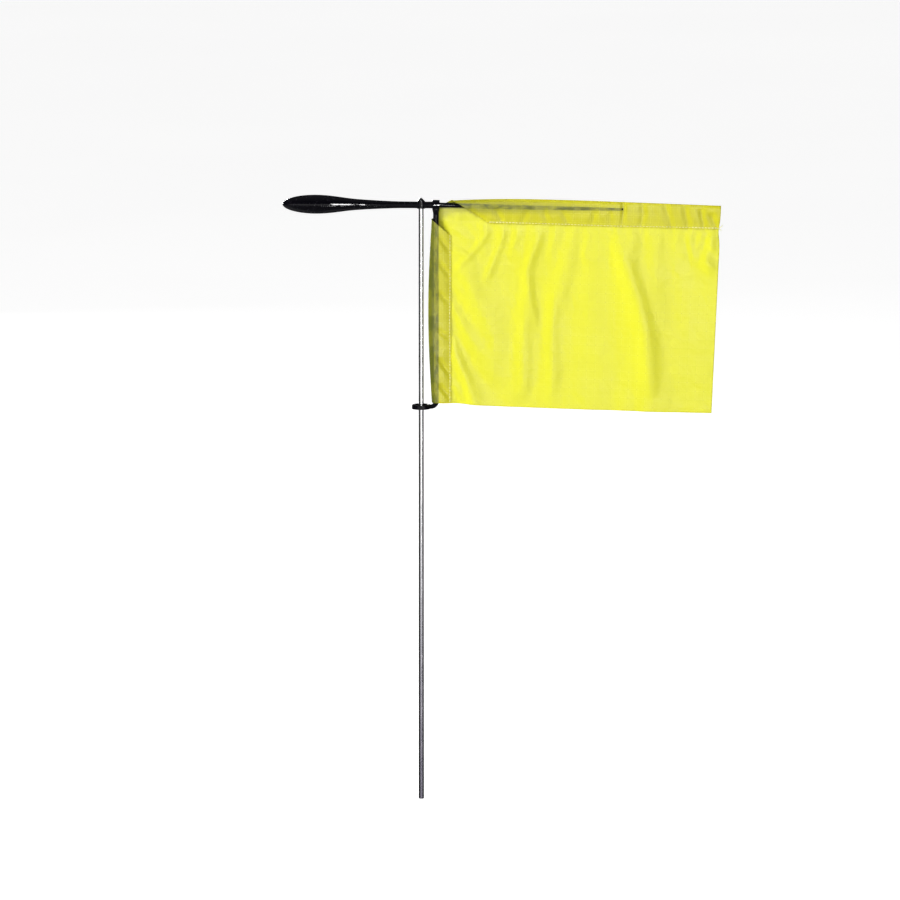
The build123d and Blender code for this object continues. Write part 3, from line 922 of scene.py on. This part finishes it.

# %% [markdown]
# ## The yellow cloth
# Thin bright cloth lets light through, so where two layers lie together, or where the black spar
# or bar lies behind, it looks darker and greener. That shade is painted into the base colour: for
# the spar and the bar it is worked out from where they are, in the object's own coordinates, and
# broken up where the cloth stands off them; for the two layers it reads the layer count.

# %% Make the ripstop nylon
nylon, tree, shader = material("yellow_ripstop_nylon")
place = node(tree, "TexCoord").outputs["Object"]
axes = node(tree, "SeparateXYZ", Vector=place).outputs
cut_place = node(tree, "UVMap", {"uv_map": "flat_cut"}).outputs[0]
weave = use_group(tree, ripstop, Place=cut_place)

by_bar = node(tree, "VectorMath", {"operation": "MULTIPLY"}, i0=place, i1=(1.0, 1.0, 0.3)).outputs[0]
by_spar = node(tree, "VectorMath", {"operation": "MULTIPLY"}, i0=place, i1=(0.3, 1.0, 1.0)).outputs[0]
doubled = node(tree, "Attribute", {"attribute_name": "cloth_layers"}).outputs["Fac"]
bar_touch = node(tree, "TexNoise", Vector=by_bar, Scale=520.0, Detail=3.0, Distortion=0.3).outputs[0]
spar_touch = node(tree, "TexNoise", Vector=by_spar, Scale=520.0, Detail=3.0, Distortion=0.3).outputs[0]
blotch = node(tree, "TexNoise", Vector=place, Scale=75.0, Detail=2.0).outputs[0]


def by_x(start, end, at_start, at_end, smooth=True):
    """A value that changes between two places along the flag, given in mm."""
    return ramp(tree, axes["X"], start * mm, end * mm, at_start, at_end, smooth)


# Painted shade of the bar behind the luff sleeve: full on the fold's side, which turns away from the light,
# mottled where the cloth stands off the bar, and lighter at the fold's very edge.
bar_side = bar_x + bar_radius
behind_bar = by_x(bar_side - 0.7, bar_side + 0.5, 1.0, 0.0)
fold_side = by_x(bar_x - 1.6, bar_x - 1.0, 1.0, 0.0)
fold_edge = by_x(luff_x - 2.6, luff_x - 1.4, 0.55, 1.0)
below_eye = ramp(tree, axes["Z"], 0.438, 0.4395, 1.0, 0.0)
mottled = math(tree, "MAXIMUM", ramp(tree, bar_touch, 0.36, 0.62, 0.70, 0.92), fold_side)
bar_pressed = ramp(tree, blotch, 0.40, 0.60, 0.88, 1.0)
bar_shadow = times(tree, behind_bar, fold_edge, mottled, below_eye, bar_pressed)

# Painted shade of the spar behind the top sleeve, mottled where the cloth stands off it, and ending at the
# spar's tip.
spar_line_start = (spar_root_z + spar_drop * spar_root_x) * mm
spar_line = math(tree, "SUBTRACT", spar_line_start, times(tree, axes["X"], spar_drop))
spar_away = math(tree, "ABSOLUTE", math(tree, "SUBTRACT", axes["Z"], spar_line))
spar_half = by_x(spar_root_x, spar_end_x, spar_root_radius * mm, spar_tip_radius * mm, smooth=False)
spar_share = math(tree, "DIVIDE", spar_away, spar_half)
behind_spar = ramp(tree, spar_share, 0.9, 1.9, 1.0, 0.0)
before_tip = by_x(spar_end_x - 0.5, spar_end_x + 0.6, 1.0, 0.0)
spar_mottled = ramp(tree, spar_touch, 0.38, 0.60, 0.74, 1.0)
spar_pressed = ramp(tree, blotch, 0.40, 0.60, 0.72, 1.0)
spar_shadow = times(tree, behind_spar, before_tip, spar_mottled, spar_pressed)
# A wide, soft painted shadow of the spar on the doubled cloth, fading out towards the fly.
by_the_spar = ramp(tree, spar_share, 1.2, 5.0, 1.0, 0.0)
spar_halo_shadow = times(tree, by_the_spar, by_x(20, 200, 0.50, 0.0), doubled)
shadow = math(tree, "MAXIMUM", math(tree, "MAXIMUM", bar_shadow, spar_shadow), spar_halo_shadow)

uneven = node(tree, "TexNoise", Vector=place, Scale=22.0, Detail=3.0).outputs[0]
deep_yellow, light_yellow = (0.80, 0.785, 0.014, 1), (0.86, 0.85, 0.030, 1)
doubled_shade_yellow, cord_yellow = (0.63, 0.585, 0.004, 1), (0.98, 0.98, 0.12, 1)
crossing_olive, shadow_olive = (0.50, 0.46, 0.004, 1), (0.085, 0.105, 0.006, 1)
dye = mixed(tree, uneven, deep_yellow, light_yellow)
# Painted shade: where two layers lie together the cloth is darkened, as less light comes through them.
two_layers_shaded = mixed(tree, times(tree, doubled, 0.85), dye, doubled_shade_yellow)
patches = node(tree, "TexNoise", Vector=cut_place, Scale=34.0, Detail=2.0).outputs[0]
clearer = ramp(tree, patches, 0.35, 0.65, 0.35, 1.0)
all_cords = plus(tree, times(tree, weave["Cords"], 0.24), times(tree, weave["Fine Cords"], 0.12))
corded = mixed(tree, times(tree, all_cords, clearer), two_layers_shaded, cord_yellow)
dotted = mixed(tree, times(tree, weave["Crossings"], clearer, 0.55), corded, crossing_olive)
# The painted shade of the spar and the bar darkens the cloth to olive here.
through = mixed(tree, times(tree, shadow, 0.95), dotted, shadow_olive)
tree.links.new(through, shader.inputs["Base Color"])

crumple = node(tree, "TexNoise", Vector=cut_place, Scale=170.0, Detail=4.0, Distortion=0.5).outputs[0]
soft_crumple = node(tree, "TexNoise", Vector=cut_place, Scale=58.0, Detail=3.0, Distortion=0.8).outputs[0]
fine = plus(tree, times(tree, weave["Weave"], 0.03), times(tree, weave["Cords"], 0.18))
relief = plus(tree, fine, crumple, times(tree, soft_crumple, 3.2))
cloth_bump = node(tree, "Bump", Strength=0.55, Distance=0.0005, Height=relief)
tree.links.new(cloth_bump.outputs[0], shader.inputs["Normal"])
tree.links.new(ramp(tree, uneven, 0.3, 0.7, 0.44, 0.56), shader.inputs["Roughness"])
constants(shader, Sheen_Weight=0.02, Sheen_Roughness=0.4, Specular_IOR_Level=0.25)
flag.data.materials.clear()
flag.data.materials.append(nylon)
print("nylon nodes:", len(tree.nodes))

# %% [markdown]
# ## The thread
# Sewing thread is two or three plies twisted together. On a bead half a millimetre thick that
# shows as fine slanting bands, so the bump is a wave set at a slant, and the colour is a paler
# yellow than the cloth.

# %% Make the thread
thread, tree, shader = material("pale_yellow_thread")
place = node(tree, "TexCoord").outputs["Object"]
plies = node(tree, "TexWave", {"bands_direction": "DIAGONAL"}, Vector=place, Scale=900.0, Distortion=1.5)
fuzz = node(tree, "TexNoise", Vector=place, Scale=2500.0, Detail=2.0)
thread_colour = mixed(tree, fuzz.outputs[0], (0.84, 0.82, 0.16, 1), (0.97, 0.96, 0.46, 1))
tree.links.new(thread_colour, shader.inputs["Base Color"])
twist = node(tree, "Bump", Strength=0.5, Distance=0.00008, Height=plies.outputs["Fac"])
tree.links.new(twist.outputs[0], shader.inputs["Normal"])
tree.links.new(ramp(tree, fuzz.outputs[0], 0.3, 0.7, 0.5, 0.65), shader.inputs["Roughness"])
constants(shader, Sheen_Weight=0.2)
for piece in (top_stitches, luff_stitches, front_tail, back_tail):
    piece.data.materials.clear()
    piece.data.materials.append(thread)

# %% [markdown]
# ## Giving the cloth its thickness
# The sheet gets its thickness last, after the rays that placed the stitches, and one level of
# subdivision rounds its folds. The real cloth is about a tenth of a millimetre thick.

# %% Finish the cloth's mesh
deselect()
flag.select_set(True)
bpy.context.view_layer.objects.active = flag
round_off = flag.modifiers.new("round_off", "SUBSURF")
round_off.levels = round_off.render_levels = 1
round_off.boundary_smooth = "PRESERVE_CORNERS"
bpy.ops.object.modifier_apply(modifier="round_off")
thicken = flag.modifiers.new("thicken", "SOLIDIFY")
thicken.thickness, thicken.offset = 0.12 * mm, 0.0
bpy.ops.object.modifier_apply(modifier="thicken")
bpy.ops.object.shade_smooth()
triangles = sum(len(face.vertices) - 2 for face in flag.data.polygons)
print("the cloth has", triangles, "triangles")

# %% [markdown]
# ## Everything rides on its body
# The flag, its stitches and its tails all swing with the vane. The cloth stands for the three
# plain solids, the stitches for the two thread strips.

for piece in (flag, top_stitches, luff_stitches, front_tail, back_tail):
    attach(piece, "vane")
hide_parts("flag_panel", "top_sleeve", "luff_sleeve")
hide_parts("top_seam_thread")
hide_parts("luff_seam_thread")

# %% Finish
print("the scene is finished")
